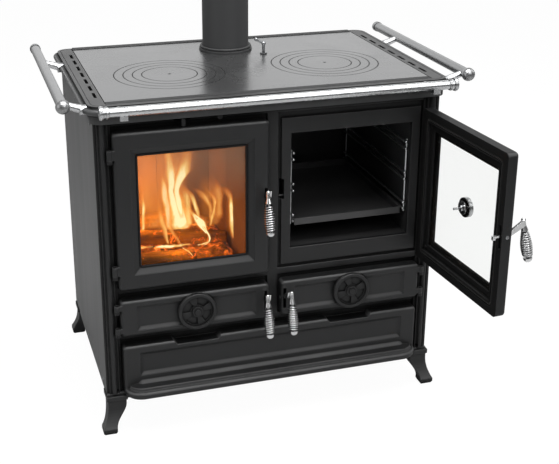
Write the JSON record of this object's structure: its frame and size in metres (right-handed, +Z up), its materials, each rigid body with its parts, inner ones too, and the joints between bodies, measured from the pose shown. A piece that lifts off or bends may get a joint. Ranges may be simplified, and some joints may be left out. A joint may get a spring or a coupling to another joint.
{
  "type": "wood cook stove",
  "caption": "Freestanding wood-burning cook stove with a glazed fire door, a glazed oven door standing open, draught discs, a drawer, a hob with lift-out rings and towel rails",
  "frame": {"origin": "on the floor, under the centre of the stove's bounding box as it stands with its oven door open; X is centred on the body", "axes": "+X to the right seen from the front, +Y from the front towards the rear, +Z up"},
  "size_m": [1.025, 0.9644, 1.1],
  "materials": {
    "cast_black": "matt black enamelled cast iron",
    "face_black": "matt black cast iron",
    "panel_grey": "satin dark grey enamel",
    "frame_grey": "dark grey satin casting",
    "hob_steel": "ground and polished hob",
    "chrome": "polished chrome",
    "steel_pin": "plain steel",
    "pipe_black": "charcoal satin paint",
    "inner_steel": "sooty sheet steel",
    "oven_enamel": "dark enamel",
    "firebrick": "fired clay",
    "rack_wire": "bright wire",
    "glass": "ceramic glass",
    "seal_rope": "woven glass rope",
    "tray_enamel": "grey enamel"
  },
  "bodies": {
    "stove": {"base_frame": "panel_grey", "feet": "cast_black", "column_left": "cast_black", "column_right": "cast_black", "side_panel_left": "panel_grey", "side_panel_right": "panel_grey", "rear_panel": "panel_grey", "front_face": "face_black", "hinge_pins": "cast_black", "top_frame": "frame_grey", "hob_plate": "hob_steel", "flue_collar": "pipe_black", "flue_pipe": "pipe_black", "front_rail": "chrome", "front_posts": "chrome", "side_rail_left": "chrome", "side_rail_right": "chrome", "side_brackets": "chrome", "firebox_shell": "inner_steel", "firebrick_lining": "firebrick", "grate": "inner_steel", "oven_box": "oven_enamel", "oven_side_racks": "rack_wire"},
    "ring_outer_left": {"ring_outer_left": "hob_steel"},
    "ring_middle_left": {"ring_middle_left": "hob_steel"},
    "ring_inner_left": {"ring_inner_left": "hob_steel"},
    "lid_left": {"lid_left": "hob_steel"},
    "ring_outer_right": {"ring_outer_right": "hob_steel"},
    "ring_middle_right": {"ring_middle_right": "hob_steel"},
    "ring_inner_right": {"ring_inner_right": "hob_steel"},
    "lid_right": {"lid_right": "hob_steel"},
    "damper": {"damper": "steel_pin"},
    "ash_pan": {"ash_pan": "tray_enamel"},
    "oven_tray": {"oven_tray": "tray_enamel"},
    "air_slider": {"air_slider": "face_black"},
    "flap_knob": {"flap_knob": "face_black"},
    "fire_door": {"fire_door": "cast_black", "fire_glass": "glass", "fire_glass_retainer": "face_black", "fire_door_seal": "seal_rope"},
    "fire_latch": {"fire_latch": "chrome", "fire_handle_coil": "chrome"},
    "oven_door": {"oven_door": "cast_black", "oven_glass": "glass", "oven_glass_retainer": "face_black", "oven_door_seal": "seal_rope", "thermometer": "chrome"},
    "oven_latch": {"oven_latch": "chrome", "oven_handle_coil": "chrome"},
    "ash_door": {"ash_door": "cast_black"},
    "ash_disc": {"ash_disc": "frame_grey"},
    "ash_latch": {"ash_latch": "chrome", "ash_handle_coil": "chrome"},
    "soot_door": {"soot_door": "cast_black"},
    "soot_disc": {"soot_disc": "frame_grey"},
    "soot_latch": {"soot_latch": "chrome", "soot_handle_coil": "chrome"},
    "drawer": {"drawer_front": "cast_black", "drawer_box": "tray_enamel"}
  },
  "joints": [
    {"name": "fire_door_hinge", "type": "hinge", "parent": "stove", "child": "fire_door", "pos_m": [-0.398, -0.09999, 0.5845], "axis": [0, 0, 1], "range_deg": [-110, 0]},
    {"name": "oven_door_hinge", "type": "hinge", "parent": "stove", "child": "oven_door", "pos_m": [0.398, -0.09999, 0.5845], "axis": [0, 0, 1], "range_deg": [-94, 15]},
    {"name": "ash_door_hinge", "type": "hinge", "parent": "stove", "child": "ash_door", "pos_m": [-0.398, -0.09999, 0.311], "axis": [0, 0, 1], "range_deg": [-110, 0]},
    {"name": "soot_door_hinge", "type": "hinge", "parent": "stove", "child": "soot_door", "pos_m": [0.398, -0.09999, 0.311], "axis": [0, 0, 1], "range_deg": [0, 110]},
    {"name": "fire_latch_pivot", "type": "hinge", "parent": "fire_door", "child": "fire_latch", "pos_m": [-0.025, -0.09099, 0.5845], "axis": [1, 0, 0], "range_deg": [-8, 20]},
    {"name": "oven_latch_pivot", "type": "hinge", "parent": "oven_door", "child": "oven_latch", "pos_m": [0.41504, -0.47271, 0.5845], "axis": [-0.0698, 0.9976, 0], "range_deg": [-8, 20]},
    {"name": "ash_latch_pivot", "type": "hinge", "parent": "ash_door", "child": "ash_latch", "pos_m": [-0.025, -0.09099, 0.311], "axis": [1, 0, 0], "range_deg": [-8, 20]},
    {"name": "soot_latch_pivot", "type": "hinge", "parent": "soot_door", "child": "soot_latch", "pos_m": [0.025, -0.09099, 0.311], "axis": [1, 0, 0], "range_deg": [-8, 20]},
    {"name": "ash_disc_turn", "type": "hinge", "parent": "ash_door", "child": "ash_disc", "pos_m": [-0.202, -0.10099, 0.311], "axis": [0, 1, 0], "range_deg": [-90, 90]},
    {"name": "soot_disc_turn", "type": "hinge", "parent": "soot_door", "child": "soot_disc", "pos_m": [0.202, -0.10099, 0.311], "axis": [0, 1, 0], "range_deg": [-90, 90]},
    {"name": "damper_turn", "type": "hinge", "parent": "stove", "child": "damper", "pos_m": [0.081, 0.26501, 0.85], "axis": [0, 0, 1], "range_deg": [0, 60]},
    {"name": "flap_turn", "type": "hinge", "parent": "stove", "child": "flap_knob", "pos_m": [-0.134, -0.07599, 0.798], "axis": [0, 1, 0], "range_deg": [0, 90]},
    {"name": "drawer_slide", "type": "slide", "parent": "stove", "child": "drawer", "axis": [0, -1, 0], "range_m": [0, 0.35]},
    {"name": "ash_pan_slide", "type": "slide", "parent": "stove", "child": "ash_pan", "axis": [0, -1, 0], "range_m": [0, 0.045]},
    {"name": "oven_tray_slide", "type": "slide", "parent": "stove", "child": "oven_tray", "axis": [0, -1, 0], "range_m": [0, 0.25]},
    {"name": "air_slide", "type": "slide", "parent": "stove", "child": "air_slider", "axis": [1, 0, 0], "range_m": [-0.012, 0.012]},
    {"name": "ring_outer_left_lift", "type": "slide", "parent": "stove", "child": "ring_outer_left", "axis": [0, 0, 1], "range_m": [0, 0.06]},
    {"name": "ring_middle_left_lift", "type": "slide", "parent": "ring_outer_left", "child": "ring_middle_left", "axis": [0, 0, 1], "range_m": [0, 0.06]},
    {"name": "ring_inner_left_lift", "type": "slide", "parent": "ring_middle_left", "child": "ring_inner_left", "axis": [0, 0, 1], "range_m": [0, 0.06]},
    {"name": "lid_left_lift", "type": "slide", "parent": "ring_inner_left", "child": "lid_left", "axis": [0, 0, 1], "range_m": [0, 0.06]},
    {"name": "ring_outer_right_lift", "type": "slide", "parent": "stove", "child": "ring_outer_right", "axis": [0, 0, 1], "range_m": [0, 0.06]},
    {"name": "ring_middle_right_lift", "type": "slide", "parent": "ring_outer_right", "child": "ring_middle_right", "axis": [0, 0, 1], "range_m": [0, 0.06]},
    {"name": "ring_inner_right_lift", "type": "slide", "parent": "ring_middle_right", "child": "ring_inner_right", "axis": [0, 0, 1], "range_m": [0, 0.06]},
    {"name": "lid_right_lift", "type": "slide", "parent": "ring_inner_right", "child": "lid_right", "axis": [0, 0, 1], "range_m": [0, 0.06]}
  ]
}
